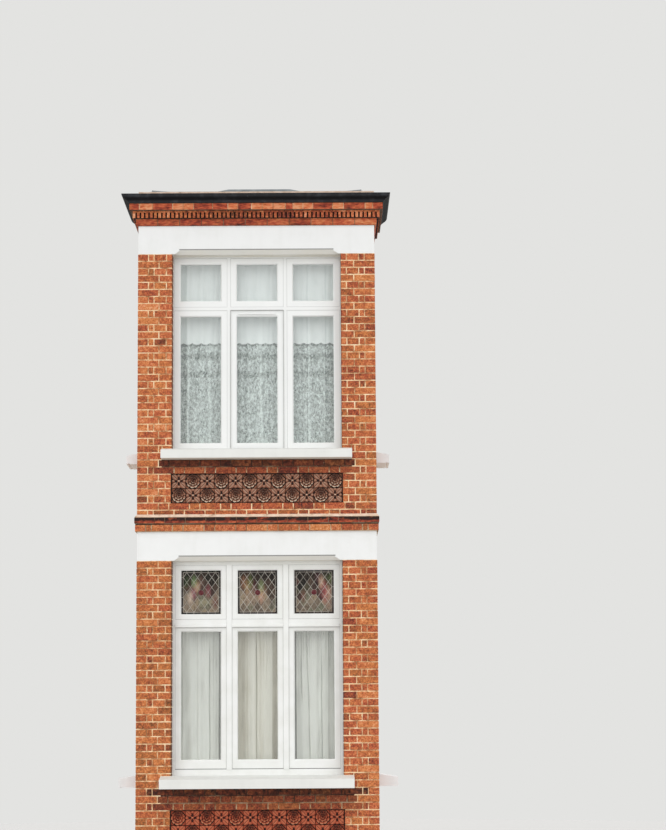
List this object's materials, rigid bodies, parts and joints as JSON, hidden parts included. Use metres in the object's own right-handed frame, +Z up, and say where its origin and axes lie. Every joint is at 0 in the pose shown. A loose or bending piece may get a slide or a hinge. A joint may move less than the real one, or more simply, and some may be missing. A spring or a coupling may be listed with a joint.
{
  "type": "two-storey box bay window",
  "caption": "Two-storey brick box bay window with stone sills and lintels, a dentilled cornice, leaded top lights and a lead roof.",
  "frame": {"origin": "Centre of the whole bay's box on the ground, under the walls", "axes": "+Z up, the street front faces -Y, +X to the right as seen from the street, and the open back at +Y meets the house wall"},
  "size_m": [2.942, 1.128, 7.8176],
  "materials": {
    "brickwork": "rough fired brick in cream lime mortar",
    "painted_stone": "masonry paint, slightly soiled",
    "terracotta": "unglazed pressed terracotta, sooty",
    "painted_timber": "gloss paint",
    "white_plastic": "satin extruded plastic",
    "clear_glass": "clear float glass",
    "leaded_glass": "leaded lights of tinted quarries",
    "cream_curtain": "gathered cotton voile",
    "lace_net": "patterned lace net",
    "timber": "sawn and planed softwood",
    "cement": "weathered cement",
    "plaster": "smooth painted plaster",
    "white_metal": "white enamel",
    "gutter_iron": "black gloss paint",
    "black_timber": "black paint",
    "lead": "oxidised sheet lead"
  },
  "bodies": {
    "root": {"ground_front_apron": "brickwork", "ground_side_aprons": "brickwork", "ground_corner_piers": "brickwork", "ground_rear_jambs": "brickwork", "ground_front_lintel": "painted_stone", "ground_side_lintels": "painted_stone", "ground_front_sill": "painted_stone", "ground_side_sills": "painted_stone", "ground_tile_panel": "terracotta", "ground_window_frames": "painted_timber", "ground_casements": "painted_timber", "ground_top_lights": "painted_timber", "ground_glass": "clear_glass", "ground_leaded_glass": "leaded_glass", "ground_curtains": "cream_curtain", "ground_floor": "timber", "string_course": "brickwork", "cement_weatherings": "cement", "first_front_apron": "brickwork", "first_side_aprons": "brickwork", "first_corner_piers": "brickwork", "first_rear_jambs": "brickwork", "first_front_lintel": "painted_stone", "first_side_lintels": "painted_stone", "first_front_sill": "painted_stone", "first_side_sills": "painted_stone", "first_tile_panel": "terracotta", "first_window_frames": "white_plastic", "first_casements": "white_plastic", "first_top_lights": "white_plastic", "first_glass": "clear_glass", "first_curtains": "lace_net", "first_floor": "timber", "window_boards": "painted_timber", "curtain_rods": "white_metal", "ceilings": "plaster", "cornice_moulding": "brickwork", "dentil_course": "brickwork", "cornice_cap": "brickwork", "eaves_course": "brickwork", "gutter_front": "gutter_iron", "gutter_sides": "gutter_iron", "gutter_boards": "black_timber", "roof_timbers": "timber", "lead_roof": "lead"}
  },
  "joints": []
}
